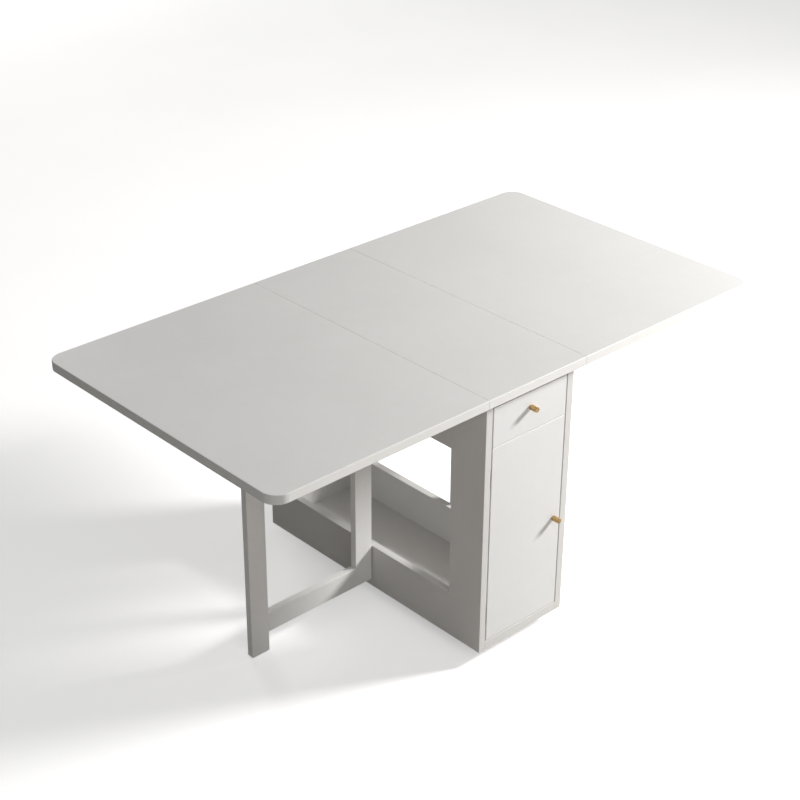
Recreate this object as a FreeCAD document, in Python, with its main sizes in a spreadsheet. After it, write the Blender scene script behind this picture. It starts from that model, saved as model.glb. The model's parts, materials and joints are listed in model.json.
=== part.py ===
import FreeCAD, Part
import os
import re
import Sketcher
from FreeCAD import Placement, Rotation, Vector

# Gateleg table: a narrow body with a cabinet at its front end, a centre strip on top, two drop
# leaves, and a gate on each side that swings out to hold its leaf up.
# Origin: middle of the footprint, on the floor. X runs along the open table, Y from the cabinet
# front to the back, Z up. Lengths are in millimetres.

doc = FreeCAD.newDocument("GatelegTable")
sheet = doc.addObject("Spreadsheet::Sheet", "Sizes")

DRIVING_SIZES = (
    ("TableLength", 1560, "open table, leaf edge to leaf edge"),
    ("TableDepth", 840, "cabinet front to back, over the top"),
    ("TableHeight", 750, "floor to the top surface"),
    ("TopThickness", 23.5, "centre strip and leaves"),
    ("SideOverhang", 16, "seam beyond the side panel's outer face"),
    ("EndOverhang", 23, "top beyond the body, front and back"),
    ("SeamGap", 1, "gap between the centre strip and a leaf"),
    ("CornerRadius", 40, "outer corners of the leaves, seen from above"),
    ("TopEdgeRadius", 2, "softened edges of the top boards"),
    ("BoardEdge", 0.6, "small bevel on the other boards"),
    ("BodyWidth", 290, "over both side panels"),
    ("BodyLift", 33.5, "floor to the underside of the body"),
    ("PanelThickness", 20, "side panels and end panel"),
    ("StileWidth", 109, "side panel, on both sides of the window"),
    ("TopRailDepth", 164, "side panel above the window"),
    ("BottomRailDepth", 123, "side panel below the window"),
    ("TroughFloorThickness", 16, "floor of the open trough"),
    ("CabinetBottomThickness", 25, "floor of the cupboard"),
    ("CabinetTopThickness", 18, "board over the drawer"),
    ("CabinetBackThickness", 12, "back of the cupboard"),
    ("FrontThickness", 16, "drawer front and door"),
    ("FrontSideGap", 3.4, "gap beside the drawer front and the door"),
    ("FrontGap", 2, "gap above and below the drawer front and the door"),
    ("DrawerFrontHeight", 104.5, "drawer front"),
    ("DeckThickness", 15, "board under the drawer"),
    ("DeckDrop", 4, "deck top below the drawer front"),
    ("DeckReach", 390, "deck, from its front edge to its back edge"),
    ("DeckSetback", 24, "deck front edge behind the cabinet front"),
    ("ShelfThickness", 15, "cupboard shelf"),
    ("ShelfRise", 261.5, "cupboard floor to the underside of the shelf"),
    ("ShelfPlay", 0.5, "shelf to each side panel"),
    ("ShelfSetback", 5, "shelf behind the back of the door"),
    ("ShelfPinDiameter", 5, "steel pins under the shelf"),
    ("ShelfPinLength", 16, "half of it in the side panel"),
    ("ShelfPinFront", 20, "front pins behind the back of the door"),
    ("ShelfPinBack", 30, "rear pins in front of the stile's rear edge"),
    ("StretcherSetback", 90, "top stretcher behind the deck"),
    ("StretcherHeight", 70, "top stretcher"),
    ("TopScrewInset", 27.25, "top screws from the cabinet top's front and rear edges"),
    ("TopScrewSetback", 37.5, "top screws from the side panels"),
    ("DrawerBoxLength", 360, "drawer side, behind the front"),
    ("DrawerBoxHeight", 76, "drawer side"),
    ("DrawerBoxLift", 8, "drawer side above the deck"),
    ("DrawerSideThickness", 12, "drawer sides and back"),
    ("DrawerBottomThickness", 4, "drawer bottom panel"),
    ("DrawerBottomInset", 5, "drawer bottom above the lower edge of the sides"),
    ("GrooveDepth", 5, "groove for the drawer bottom"),
    ("RunnerSpace", 12.5, "between the drawer side and the side panel"),
    ("RunnerHeight", 36, "outer runner channel"),
    ("RunnerMetal", 1.2, "runner sheet"),
    ("RunnerPlay", 0.6, "between the two runner channels"),
    ("RunnerLength", 340, "both runner channels"),
    ("RunnerSetback", 2, "runners behind the back of the drawer front"),
    ("RunnerLift", 14, "runners above the lower edge of the drawer side"),
    ("RunnerLipGap", 3, "runner lips to the face across from them"),
    ("KnobDiameter", 14, "brass knobs"),
    ("KnobLength", 22, "brass knobs, in front of the board"),
    ("KnobBevel", 0.8, "round the knob's end face"),
    ("KnobNeckInset", 1.2, "groove at the knob's foot, on the radius"),
    ("KnobNeckHeight", 1.6, "groove at the knob's foot"),
    ("KnobStudRadius", 2, "stud in the board"),
    ("KnobStudLength", 12, "stud in the board"),
    ("DrawerKnobRise", 64, "lower edge of the drawer front to its knob"),
    ("DoorKnobRise", 259.5, "lower edge of the door to its knob"),
    ("DoorKnobInset", 22.6, "door knob to the door's free edge"),
    ("GateThickness", 18.5, "all boards of a gate"),
    ("GateLength", 392, "gate, hinge edge to outer edge"),
    ("GateGap", 2.4, "between the gate's hinge edge and the side panel"),
    ("LegWidth", 53.5, "outer leg"),
    ("PostWidth", 54, "inner post"),
    ("GateRailHeight", 56, "lower and upper rail"),
    ("GateRailLift", 56.5, "floor to the lower rail and the post"),
    ("GateTopGap", 9, "gate top below the leaf"),
    ("GlideThickness", 3, "pad under the leg"),
    ("GlideInset", 3, "pad inside the leg's side edges"),
    ("GlideFaceInset", 2, "pad inside the leg's faces"),
    ("DowelDiameter", 8, "gate dowels"),
    ("DowelLength", 30, "gate dowels"),
    ("DowelSpacing", 26, "between the two dowels of a joint"),
    ("HingeMetal", 1.2, "hinge plates of gates and leaves"),
    ("KnuckleGap", 0.15, "end of a knuckle to the middle of its joint"),
    ("KnuckleRelief", 0.4, "plate edge beyond the knuckle"),
    ("WebLap", 1, "web over its plate"),
    ("ScrewHeadRadius", 2.8, "hinge and top screws"),
    ("ScrewRadius", 1.4, "hinge and top screws"),
    ("ScrewBite", 12, "screw in the wood, with its head"),
    ("GateHingeLength", 60, "gate hinge along its pin"),
    ("GateHingePlay", 0.3, "gate knuckle to the panel and to the gate's rear face"),
    ("GateHingeMargin", 15, "lower gate hinge below the window"),
    ("GateHingeRise", 40, "upper gate hinge above the window"),
    ("GatePlateWidth", 20, "gate hinge plates"),
    ("GateScrewLine", 11, "screws from the knuckle's side of the plate"),
    ("GateScrewInset", 10.8, "screws from the ends of the hinge"),
    ("GateKnuckle", 2.2, "radius of the gate hinge knuckle"),
    ("GatePin", 1.1, "radius of the gate hinge pin"),
    ("LeafHingeLength", 64, "leaf hinge along its pin"),
    ("LeafHingeEnd", 117.6, "outer leaf hinges, from the end of the top to their middle"),
    ("LeafHingeMiddle", 126, "middle leaf hinge behind the middle of the table"),
    ("LeafHingePlay", 0.6, "leaf knuckle below the top boards"),
    ("FoldClearance", 1.1, "folded gate to the hinge plates of the dropped leaf"),
    ("LeafKnuckle", 3.4, "radius of the leaf hinge knuckle"),
    ("LeafPin", 1.7, "radius of the leaf hinge pin"),
    ("LeafPlateWidth", 40, "leaf hinge plate on the leaf"),
    ("LeafScrewLine", 22, "leaf screws from the edge of their plate"),
    ("LeafScrewInset", 12.8, "screws from the ends of the hinge"),
    ("LeafWebInset", 1.5, "fixed web under the centre strip"),
    ("FixedScrewSetout", 7.5, "screws of the fixed plate outside the body"),
    ("FixedPlateSetout", 1, "fixed plate outside the body"),
    ("DoorHingeMetal", 0.9, "door hinge plates"),
    ("DoorHingeLength", 50, "door hinge along its pin"),
    ("DoorHingeInset", 55, "door hinge from the top or bottom of the door"),
    ("DoorHingePlay", 0.4, "door knuckle to the door and to the panel"),
    ("DoorPlateSetback", 2, "door hinge plates in front of the back of the door"),
    ("DoorPin", 0.6, "radius of the door hinge pin"),
    ("PinPlay", 0.05, "hinge pin in its knuckle, on the radius"),
    ("CatchWidth", 40, "magnetic catch and its plate"),
    ("CatchInset", 20, "catch from the door's free edge"),
    ("CatchHeight", 12, "magnetic catch and its plate"),
    ("CatchPlateDrop", 1, "catch plate below the deck"),
    ("CatchPlateMetal", 1.2, "catch plate"),
    ("CatchGap", 0.3, "closed catch to its plate"),
    ("CatchDepth", 22.5, "magnetic catch, front to back"),
    ("StopClearance", 0.4, "gate to its stop, and leaf to the fixed hinge"),
    ("StopInset", 8, "stop from the gate's outer edge"),
    ("StopLength", 70, "stop, along the leaf"),
    ("StopLipThickness", 16, "lip in front of the gate"),
    ("StopLipDrop", 14, "lip below the gate top"),
    ("StopBackInset", 1, "stop in front of the gate's rear face"),
    ("FootDiameter", 40, "body foot"),
    ("FootPad", 6, "foot pad"),
    ("FootFlange", 4, "flange under the body"),
    ("FootInset", 75, "body foot centre from the side and the end of the body"),
)

for row, (alias, value, note) in enumerate(DRIVING_SIZES, start=1):
    sheet.set("A%d" % row, alias)
    sheet.set("B%d" % row, str(value))
    sheet.set("C%d" % row, note)
    sheet.setAlias("B%d" % row, alias)
doc.recompute()

ALIASES = re.compile(r"\b(%s)\b" % "|".join(alias for alias, value, note in DRIVING_SIZES))


def formula(text):
    """The sheet's name in front of every size that the text mentions."""
    return ALIASES.sub(r"Sizes.\1", str(text))


def number(text):
    """The present value of a formula."""
    return float(sheet.evalExpression(formula(text)))


# Levels and faces that several pieces share
UNDERSIDE = "(TableHeight - TopThickness)"
HALF_BODY = "(BodyWidth / 2)"
INNER_FACE = "(BodyWidth / 2 - PanelThickness)"
BODY_BACK = "(TableDepth / 2 - EndOverhang)"
BODY_FRONT = f"(-{BODY_BACK})"
STILE_BACK = f"({BODY_FRONT} + StileWidth)"
FRONTS_BACK = f"({BODY_FRONT} + FrontThickness)"
CUPBOARD_FLOOR = "(BodyLift + CabinetBottomThickness)"
CABINET_CEILING = f"({UNDERSIDE} - CabinetTopThickness)"
DRAWER_FRONT_TOP = f"({CABINET_CEILING} - FrontGap)"
DRAWER_FRONT_LOW = f"({DRAWER_FRONT_TOP} - DrawerFrontHeight)"
DOOR_TOP = f"({DRAWER_FRONT_LOW} - FrontGap)"
DOOR_LOW = f"({CUPBOARD_FLOOR} + FrontGap)"
DECK_TOP = f"({DRAWER_FRONT_LOW} - DeckDrop)"
DECK_LOW = f"({DECK_TOP} - DeckThickness)"
DECK_FRONT = f"({BODY_FRONT} + DeckSetback)"
FRONT_HALF_WIDTH = f"({INNER_FACE} - FrontSideGap)"
DRAWER_HALF_WIDTH = f"({INNER_FACE} - RunnerSpace)"
DRAWER_BOX_LOW = f"({DECK_TOP} + DrawerBoxLift)"
SHELF_LOW = f"({CUPBOARD_FLOOR} + ShelfRise)"
SEAM = "(BodyWidth / 2 + SideOverhang)"
GATE_NEAR = f"({HALF_BODY} + GateGap)"
GATE_FAR = f"({GATE_NEAR} + GateLength)"
GATE_TOP = f"({UNDERSIDE} - GateTopGap)"
GATE_HINGE_OFFSET = "(GateKnuckle + GateHingePlay)"
GATE_PIN_X = f"({HALF_BODY} + {GATE_HINGE_OFFSET})"
GATE_PIN_Y = f"(GateThickness / 2 + {GATE_HINGE_OFFSET})"
LEAF_HINGE_DROP = "(LeafKnuckle + LeafHingePlay)"
# The leaf hangs clear of a gate folded against the panel
FOLDED_GATE_FACE = f"({HALF_BODY} + 2 * {GATE_HINGE_OFFSET} + GateThickness)"
LEAF_PIN_X = f"({FOLDED_GATE_FACE} + FoldClearance + HingeMetal - {LEAF_HINGE_DROP})"
LEAF_PIN_Z = f"({UNDERSIDE} - {LEAF_HINGE_DROP})"
DOOR_PIN_X = f"({FRONT_HALF_WIDTH} + FrontSideGap / 2)"
DOOR_KNUCKLE = "(FrontSideGap / 2 - DoorHingePlay)"

SIDES = (("left", -1), ("right", 1))
DIRECTIONS = {
    "+x": Rotation(Vector(0, 1, 0), 90),
    "-x": Rotation(Vector(0, 1, 0), -90),
    "+y": Rotation(Vector(1, 0, 0), -90),
    "-y": Rotation(Vector(1, 0, 0), 90),
    "+z": Rotation(),
    "-z": Rotation(Vector(1, 0, 0), 180),
}

nodes = {}


def node(name, piece):
    """Keep a finished piece under the name of its file."""
    piece.Label = name
    nodes[name] = piece
    return piece


def outward(side, near, far):
    """A span along X, measured from the middle towards one side."""
    return (near, far) if side > 0 else (f"-({far})", f"-({near})")


def middle_span(half):
    return (f"-({half})", half)


def place(piece, x, y, z, direction="+z"):
    piece.Placement = Placement(Vector(), DIRECTIONS[direction])
    for axis, text in zip("xyz", (x, y, z)):
        piece.setExpression(".Placement.Base." + axis, formula(text))
    return piece


def block(name, x, y, z):
    """A box between two formulas along each axis."""
    box = doc.addObject("Part::Box", name)
    for prop, (low, high) in zip(("Length", "Width", "Height"), (x, y, z)):
        box.setExpression(prop, formula(f"({high}) - ({low})"))
    return place(box, x[0], y[0], z[0])


def rod(name, radius, length, x, y, z, direction="+z"):
    """A cylinder that starts at a point and runs in a direction."""
    cylinder = doc.addObject("Part::Cylinder", name)
    cylinder.setExpression("Radius", formula(radius))
    cylinder.setExpression("Height", formula(length))
    return place(cylinder, x, y, z, direction)


def taper(name, radius, end_radius, length, x, y, z, direction="+z"):
    cone = doc.addObject("Part::Cone", name)
    cone.setExpression("Radius1", formula(radius))
    cone.setExpression("Radius2", formula(end_radius))
    cone.setExpression("Height", formula(length))
    return place(cone, x, y, z, direction)


def fuse(name, pieces):
    joined = doc.addObject("Part::MultiFuse", name)
    joined.Shapes = pieces
    joined.Refine = True
    return joined


def group(name, pieces):
    """Separate solids that share one file."""
    together = doc.addObject("Part::Compound", name)
    together.Links = pieces
    return together


def cut(name, piece, tool):
    result = doc.addObject("Part::Cut", name)
    result.Base = piece
    result.Tool = tool
    return result


def soften(name, piece, size="BoardEdge"):
    """Bevel every straight outer edge of a plain board."""
    doc.recompute()
    bevel = doc.addObject("Part::Chamfer", name)
    bevel.Base = piece
    reach = number(size)
    bevel.Edges = [(i + 1, reach, reach) for i in range(len(piece.Shape.Edges))]
    return bevel


def board(name, x, y, z):
    """A plain board with bevelled edges, kept as a node unless it is drilled later."""
    return node(name, soften(name + "_bevelled", block(name + "_blank", x, y, z)))


def drill(name, tool):
    """Cut a finished node by the solids that go through it."""
    return node(name, cut(f"{name}_cut_{tool.Name}", nodes[name], tool))


def new_body(name, plane, offset):
    """A body with one sketch plane at a distance along its normal."""
    body = doc.addObject("PartDesign::Body", name)
    sketch = body.newObject("Sketcher::SketchObject", name + "_sketch")
    origin_plane = [f for f in body.Origin.OriginFeatures if f.Role == plane][0]
    sketch.AttachmentSupport = [(origin_plane, "")]
    sketch.MapMode = "FlatFace"
    sketch.setExpression(".AttachmentOffset.Base.z", formula(offset))
    return body, sketch


def outline(sketch, corners):
    """A closed outline of straight lines, each corner tied to its two formulas."""
    points = [Vector(number(u), number(v), 0) for u, v in corners]
    first = sketch.GeometryCount
    count = len(points)
    for i in range(count):
        sketch.addGeometry(Part.LineSegment(points[i], points[(i + 1) % count]), False)
    for i in range(count):
        line = first + i
        following = first + (i + 1) % count
        sketch.addConstraint(Sketcher.Constraint("Coincident", line, 2, following, 1))
    for i, (u, v) in enumerate(corners):
        for kind, text, value in (("DistanceX", u, points[i].x), ("DistanceY", v, points[i].y)):
            index = sketch.addConstraint(Sketcher.Constraint(kind, -1, 1, first + i, 1, value))
            sketch.setExpression(f"Constraints[{index}]", formula(text))


def rectangle(u, v):
    return [(u[0], v[0]), (u[1], v[0]), (u[1], v[1]), (u[0], v[1])]


def pad(body, sketch, length):
    feature = body.newObject("PartDesign::Pad", body.Name + "_pad")
    feature.Profile = sketch
    feature.setExpression("Length", formula(length))
    doc.recompute()
    return feature


def round_edges(body, feature, name, size, wanted, kind="Fillet"):
    """Round or bevel the edges of a feature that a test picks."""
    picked = [f"Edge{i + 1}" for i, edge in enumerate(feature.Shape.Edges) if wanted(edge)]
    result = body.newObject("PartDesign::" + kind, name)
    result.Base = (feature, picked)
    result.setExpression("Radius" if kind == "Fillet" else "Size", formula(size))
    body.Tip = result
    doc.recompute()
    return result


def is_upright(edge):
    box = edge.BoundBox
    return box.ZLength > 1 and box.XLength < 0.01 and box.YLength < 0.01


def is_level(edge):
    return edge.BoundBox.ZLength < 0.01


# ---- the top: a centre strip and two leaves ----

def centre_top():
    half = f"({SEAM} - SeamGap / 2)"
    body, sketch = new_body("centre_top_body", "XY_Plane", UNDERSIDE)
    outline(sketch, rectangle(middle_span(half), middle_span("TableDepth / 2")))
    slab = pad(body, sketch, "TopThickness")
    end = number("TableDepth / 2")
    round_edges(body, slab, "centre_top_edges", "TopEdgeRadius",
                lambda edge: is_level(edge) and abs(abs(edge.CenterOfMass.y) - end) < 0.01)
    node("centre_top", body)


def leaf(word, side):
    near = f"{SEAM} + SeamGap / 2"
    body, sketch = new_body(word + "_leaf_body", "XY_Plane", UNDERSIDE)
    outline(sketch, rectangle(outward(side, near, "TableLength / 2"), middle_span("TableDepth / 2")))
    slab = pad(body, sketch, "TopThickness")
    outer = number("TableLength / 2")
    corners = round_edges(body, slab, word + "_leaf_corners", "CornerRadius",
                          lambda edge: is_upright(edge) and abs(edge.CenterOfMass.x) > outer - 1)
    inner = number(near)
    round_edges(body, corners, word + "_leaf_edges", "TopEdgeRadius",
                lambda edge: is_level(edge) and abs(edge.CenterOfMass.x) > inner + 1)
    node(word + "_leaf", body)


# ---- the body: side panels with a window, end panel, trough and cabinet ----

def side_panel(word, side):
    low, high = outward(side, INNER_FACE, HALF_BODY)
    body, sketch = new_body(word + "_side_panel_body", "YZ_Plane", low)
    outline(sketch, rectangle(middle_span(BODY_BACK), ("BodyLift", UNDERSIDE)))
    outline(sketch, rectangle(middle_span(f"-{STILE_BACK}"),
                              ("BodyLift + BottomRailDepth", f"{UNDERSIDE} - TopRailDepth")))
    slab = pad(body, sketch, "PanelThickness")
    round_edges(body, slab, word + "_side_panel_edges", "BoardEdge",
                lambda edge: edge.BoundBox.XLength < 0.01, "Chamfer")
    node(word + "_side_panel", body)


def carcass():
    across = middle_span(INNER_FACE)
    board("end_panel", across, (f"{BODY_BACK} - PanelThickness", BODY_BACK), ("BodyLift", UNDERSIDE))
    board("trough_floor", across, (STILE_BACK, f"{BODY_BACK} - PanelThickness"),
          ("BodyLift", "BodyLift + TroughFloorThickness"))
    board("cabinet_bottom", across, (BODY_FRONT, STILE_BACK), ("BodyLift", CUPBOARD_FLOOR))
    board("cabinet_back", across, (f"{STILE_BACK} - CabinetBackThickness", STILE_BACK),
          (CUPBOARD_FLOOR, DECK_LOW))
    board("cabinet_top", across, (BODY_FRONT, STILE_BACK), (CABINET_CEILING, UNDERSIDE))
    board("drawer_deck", across, (DECK_FRONT, f"{DECK_FRONT} + DeckReach"), (DECK_LOW, DECK_TOP))
    stretcher_front = f"{DECK_FRONT} + DeckReach + StretcherSetback"
    board("top_stretcher", across, (stretcher_front, f"{stretcher_front} + PanelThickness"),
          (f"{UNDERSIDE} - StretcherHeight", UNDERSIDE))
    board("cabinet_shelf", middle_span(f"{INNER_FACE} - ShelfPlay"),
          (f"{FRONTS_BACK} + ShelfSetback", f"{STILE_BACK} - CabinetBackThickness"),
          (SHELF_LOW, f"{SHELF_LOW} + ShelfThickness"))


def shelf_pins():
    """Four steel pins, half in the side panels and half under the shelf."""
    pins = []
    for word, side in SIDES:
        start, end = outward(side, f"{INNER_FACE} - ShelfPinLength / 2", f"{INNER_FACE} + ShelfPinLength / 2")
        for end_word, y in (("front", f"{FRONTS_BACK} + ShelfPinFront"),
                            ("back", f"{STILE_BACK} - ShelfPinBack")):
            pins.append(rod(f"{word}_{end_word}_shelf_pin", "ShelfPinDiameter / 2", "ShelfPinLength", start, y,
                            f"{SHELF_LOW} - ShelfPinDiameter / 2", "+x"))
    node("shelf_pins", group("shelf_pin_group", pins))
    for word, side in SIDES:
        drill(word + "_side_panel", nodes["shelf_pins"])


def body_feet():
    """Four round feet with a wide pad, set well in from the edges."""
    feet = []
    for word, side in SIDES:
        for end_word, end in (("front", -1), ("back", 1)):
            x = f"{side} * ({HALF_BODY} - FootInset)"
            y = f"{end} * ({BODY_BACK} - FootInset)"
            name = f"{end_word}_{word}_foot"
            feet.append(fuse(name, [
                rod(name + "_pad", "FootDiameter / 2", "FootPad", x, y, "0"),
                taper(name + "_stem", "FootDiameter / 3", "FootDiameter / 4",
                      "BodyLift - FootPad - FootFlange", x, y, "FootPad"),
                rod(name + "_flange", "FootDiameter / 2.5", "FootFlange", x, y, "BodyLift - FootFlange"),
            ]))
    node("body_feet", group("body_feet_group", feet))


# ---- the drawer and its runners ----

def knob(name, x, z):
    """A turned brass knob on a stud; its axis points out of the cabinet front."""
    body, sketch = new_body(name + "_body", "XY_Plane", "0")
    outline(sketch, [
        ("0", "-KnobStudLength"), ("KnobStudRadius", "-KnobStudLength"), ("KnobStudRadius", "0"),
        ("KnobDiameter / 2 - KnobNeckInset", "0"), ("KnobDiameter / 2 - KnobNeckInset", "KnobNeckHeight"),
        ("KnobDiameter / 2", "KnobNeckHeight + KnobBevel"), ("KnobDiameter / 2", "KnobLength - KnobBevel"),
        ("KnobDiameter / 2 - KnobBevel", "KnobLength"), ("0", "KnobLength"),
    ])
    turned = body.newObject("PartDesign::Revolution", name + "_turned")
    turned.Profile = sketch
    turned.ReferenceAxis = (sketch, ["V_Axis"])
    turned.Angle = 360
    body.Tip = turned
    body.Placement = Placement(Vector(), Rotation(Vector(1, 0, 0), 180))
    for axis, text in zip("xyz", (x, BODY_FRONT, z)):
        body.setExpression(".Placement.Base." + axis, formula(text))
    return node(name, body)


def drawer():
    front_y = (BODY_FRONT, FRONTS_BACK)
    box_y = (FRONTS_BACK, f"{FRONTS_BACK} + DrawerBoxLength")
    box_z = (DRAWER_BOX_LOW, f"{DRAWER_BOX_LOW} + DrawerBoxHeight")
    inner = f"({DRAWER_HALF_WIDTH} - DrawerSideThickness)"
    bottom_low = f"({DRAWER_BOX_LOW} + DrawerBottomInset)"
    board("drawer_front", middle_span(FRONT_HALF_WIDTH), front_y, (DRAWER_FRONT_LOW, DRAWER_FRONT_TOP))
    for word, side in SIDES:
        board(f"drawer_{word}_side", outward(side, inner, DRAWER_HALF_WIDTH), box_y, box_z)
    board("drawer_back", middle_span(inner), (f"{box_y[1]} - DrawerSideThickness", box_y[1]),
          (f"{bottom_low} + DrawerBottomThickness", box_z[1]))
    bottom = node("drawer_bottom", block("drawer_bottom_panel", middle_span(f"{inner} + GrooveDepth"), box_y,
                                         (bottom_low, f"{bottom_low} + DrawerBottomThickness")))
    for word, side in SIDES:
        drill(f"drawer_{word}_side", bottom)
    drill("drawer_front", knob("drawer_knob", "0", f"{DRAWER_FRONT_LOW} + DrawerKnobRise"))


def channel(name, side, web, open_edge, z, y):
    """A sheet channel that lies along Y: its web at one X, its lips reaching to another."""
    away = 1 if number(open_edge) > number(web) else -1
    body, sketch = new_body(name + "_body", "XZ_Plane", f"-({y[1]})")
    thick = f"{away} * RunnerMetal"
    u_web, u_lip = f"{side} * ({web})", f"{side} * ({open_edge})"
    u_inner = f"{side} * ({web} + {thick})"
    outline(sketch, [
        (u_web, z[0]), (u_lip, z[0]), (u_lip, f"{z[0]} + RunnerMetal"), (u_inner, f"{z[0]} + RunnerMetal"),
        (u_inner, f"{z[1]} - RunnerMetal"), (u_lip, f"{z[1]} - RunnerMetal"), (u_lip, z[1]), (u_web, z[1]),
    ])
    pad(body, sketch, f"({y[1]}) - ({y[0]})")
    return node(name, body)


def runners():
    """On each side an outer channel on the side panel holds an inner channel on the drawer."""
    y = (f"{FRONTS_BACK} + RunnerSetback", f"{FRONTS_BACK} + RunnerSetback + RunnerLength")
    low = f"({DRAWER_BOX_LOW} + RunnerLift)"
    inset = "(RunnerMetal + RunnerPlay)"
    for word, side in SIDES:
        channel(f"{word}_cabinet_runner", side, INNER_FACE, f"{DRAWER_HALF_WIDTH} + RunnerLipGap",
                (low, f"{low} + RunnerHeight"), y)
        channel(f"{word}_drawer_runner", side, DRAWER_HALF_WIDTH, f"{INNER_FACE} - RunnerLipGap",
                (f"{low} + {inset}", f"{low} + RunnerHeight - {inset}"), y)


# ---- hinges ----

def hinge_half(name, along, start, length, pin_at, knuckle, pin, plate, web, outer):
    """One half of a butt hinge. Along its pin line it holds the outer two knuckles or the middle one.

    pin_at, plate and web are given on the two axes across the pin line.
    """
    cross = [axis for axis in "xyz" if axis != along]
    third = f"({length}) / 3"
    if outer:
        spans = [(start, f"{start} + {third} - KnuckleGap"),
                 (f"{start} + 2 * {third} + KnuckleGap", f"{start} + {length}")]
    else:
        spans = [(f"{start} + {third} + KnuckleGap", f"{start} + 2 * {third} - KnuckleGap")]

    def spread(ranges, span):
        lookup = dict(zip(cross, ranges))
        lookup[along] = span
        return [lookup[axis] for axis in "xyz"]

    pieces = [block(name + "_plate", *spread(plate, (start, f"{start} + {length}")))]
    for i, span in enumerate(spans):
        at = spread(pin_at, span[0])
        pieces.append(rod(f"{name}_knuckle{i}", knuckle, f"({span[1]}) - ({span[0]})", *at, "+" + along))
        pieces.append(block(f"{name}_web{i}", *spread(web, span)))
    bore = rod(name + "_bore", f"{pin} + PinPlay", f"{length} + 2 * WebLap",
               *spread(pin_at, f"{start} - WebLap"), "+" + along)
    return cut(name + "_bored", fuse(name + "_joined", pieces), bore)


def hinge_pin(name, along, start, length, pin_at, pin):
    cross = [axis for axis in "xyz" if axis != along]
    at = dict(zip(cross, pin_at))
    at[along] = start
    return rod(name, pin, length, at["x"], at["y"], at["z"], "+" + along)


def screw(name, x, y, z, direction, length="ScrewBite"):
    """A countersunk screw: its head fills a hinge plate's thickness."""
    head = taper(name + "_head", "ScrewHeadRadius", "ScrewRadius", "HingeMetal", x, y, z, direction)
    shank = rod(name + "_shank", "ScrewRadius", length, x, y, z, direction)
    return fuse(name, [head, shank])


def gate_hinges(word, side):
    """Two surface hinges in the corner between the gate's rear face and the side panel."""
    body_plates, gate_plates, pins, body_screws, gate_screws = [], [], [], [], []
    clear = "(GateKnuckle + KnuckleRelief)"
    rear = "GateThickness / 2"
    pin_at = (f"{side} * {GATE_PIN_X}", GATE_PIN_Y)
    to_panel = "-x" if side > 0 else "+x"
    for i, start in enumerate(("BodyLift + BottomRailDepth - GateHingeMargin - GateHingeLength",
                               f"{UNDERSIDE} - TopRailDepth + GateHingeRise")):
        name = f"{word}_gate_hinge{i}"
        body_plates.append(hinge_half(
            name + "_body", "z", start, "GateHingeLength", pin_at, "GateKnuckle", "GatePin",
            (outward(side, HALF_BODY, f"{HALF_BODY} + HingeMetal"),
             (f"{GATE_PIN_Y} + {clear}", f"{GATE_PIN_Y} + {clear} + GatePlateWidth")),
            (outward(side, HALF_BODY, f"{HALF_BODY} + HingeMetal"),
             (GATE_PIN_Y, f"{GATE_PIN_Y} + {clear} + WebLap")), True))
        gate_plates.append(hinge_half(
            name + "_gate", "z", start, "GateHingeLength", pin_at, "GateKnuckle", "GatePin",
            (outward(side, f"{GATE_PIN_X} + {clear}", f"{GATE_PIN_X} + {clear} + GatePlateWidth"),
             (rear, f"{rear} + HingeMetal")),
            (outward(side, GATE_PIN_X, f"{GATE_PIN_X} + {clear} + WebLap"),
             (rear, f"{rear} + HingeMetal")), False))
        pins.append(hinge_pin(name + "_pin", "z", start, "GateHingeLength", pin_at, "GatePin"))
        for k, z in enumerate((f"{start} + GateScrewInset", f"{start} + GateHingeLength - GateScrewInset")):
            body_screws.append(screw(f"{name}_body_screw{k}", f"{side} * ({HALF_BODY} + HingeMetal)",
                                     f"{GATE_PIN_Y} + {clear} + GateScrewLine", z, to_panel))
            gate_screws.append(screw(f"{name}_gate_screw{k}",
                                     f"{side} * ({GATE_PIN_X} + {clear} + GateScrewLine)",
                                     f"{rear} + HingeMetal", z, "-y"))
    return body_plates, gate_plates, pins, body_screws, gate_screws


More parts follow.
